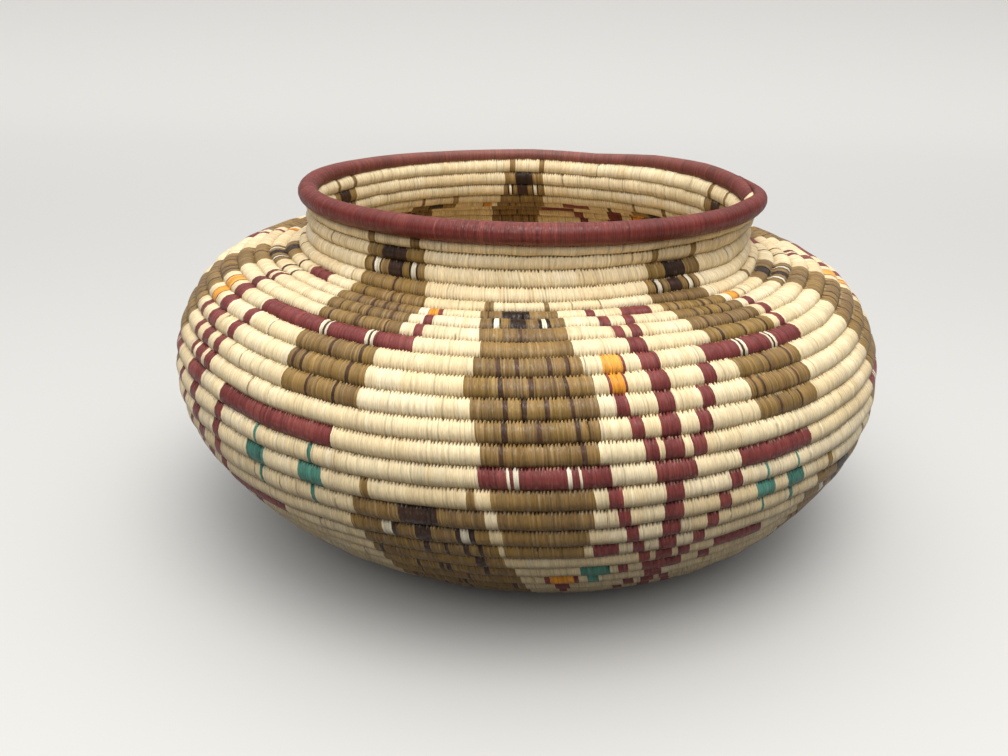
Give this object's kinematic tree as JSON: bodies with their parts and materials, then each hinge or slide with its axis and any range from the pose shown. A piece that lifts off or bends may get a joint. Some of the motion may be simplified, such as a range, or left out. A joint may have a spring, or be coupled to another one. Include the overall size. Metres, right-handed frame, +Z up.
{
  "type": "basket jar",
  "caption": "Wide coiled basket jar with a short open neck, a thick rolled rim and a full rounded belly on a flat floor.",
  "frame": {"origin": "middle of the jar's outline on the surface that it stands on", "axes": "+Z up through the mouth, -Y towards the side that the picture shows, +X towards the side where the light wrapping ends at the rim"},
  "size_m": [0.4193, 0.419, 0.2098],
  "materials": {
    "natural_palm": "split palm strip in its natural straw colour, dry satin",
    "brown_palm": "palm strip dyed ochre brown, dry satin",
    "maroon_palm": "palm strip dyed maroon, soft sheen"
  },
  "bodies": {
    "root": {"belly_coil_21": "natural_palm", "belly_coil_22": "natural_palm", "belly_coil_23": "natural_palm", "belly_coil_24": "natural_palm", "belly_coil_25": "natural_palm", "belly_coil_26": "natural_palm", "belly_coil_27": "natural_palm", "floor_coil_01": "natural_palm", "floor_coil_02": "natural_palm", "floor_coil_03": "natural_palm", "floor_coil_04": "natural_palm", "floor_coil_05": "natural_palm", "floor_coil_06": "natural_palm", "floor_coil_07": "natural_palm", "floor_coil_08": "natural_palm", "floor_coil_09": "natural_palm", "floor_coil_10": "natural_palm", "foot_coil_11": "brown_palm", "foot_coil_12": "brown_palm", "foot_coil_13": "brown_palm", "foot_coil_14": "brown_palm", "foot_coil_15": "brown_palm", "foot_coil_16": "brown_palm", "foot_coil_17": "brown_palm", "foot_coil_18": "brown_palm", "foot_coil_19": "brown_palm", "foot_coil_20": "brown_palm", "neck_coil_33": "natural_palm", "neck_coil_34": "natural_palm", "neck_coil_35": "natural_palm", "neck_coil_36": "natural_palm", "neck_coil_37": "natural_palm", "neck_coil_38": "natural_palm", "rim_coil": "maroon_palm", "shoulder_coil_28": "natural_palm", "shoulder_coil_29": "natural_palm", "shoulder_coil_30": "natural_palm", "shoulder_coil_31": "natural_palm", "shoulder_coil_32": "natural_palm", "start_knot": "natural_palm"}
  },
  "joints": []
}
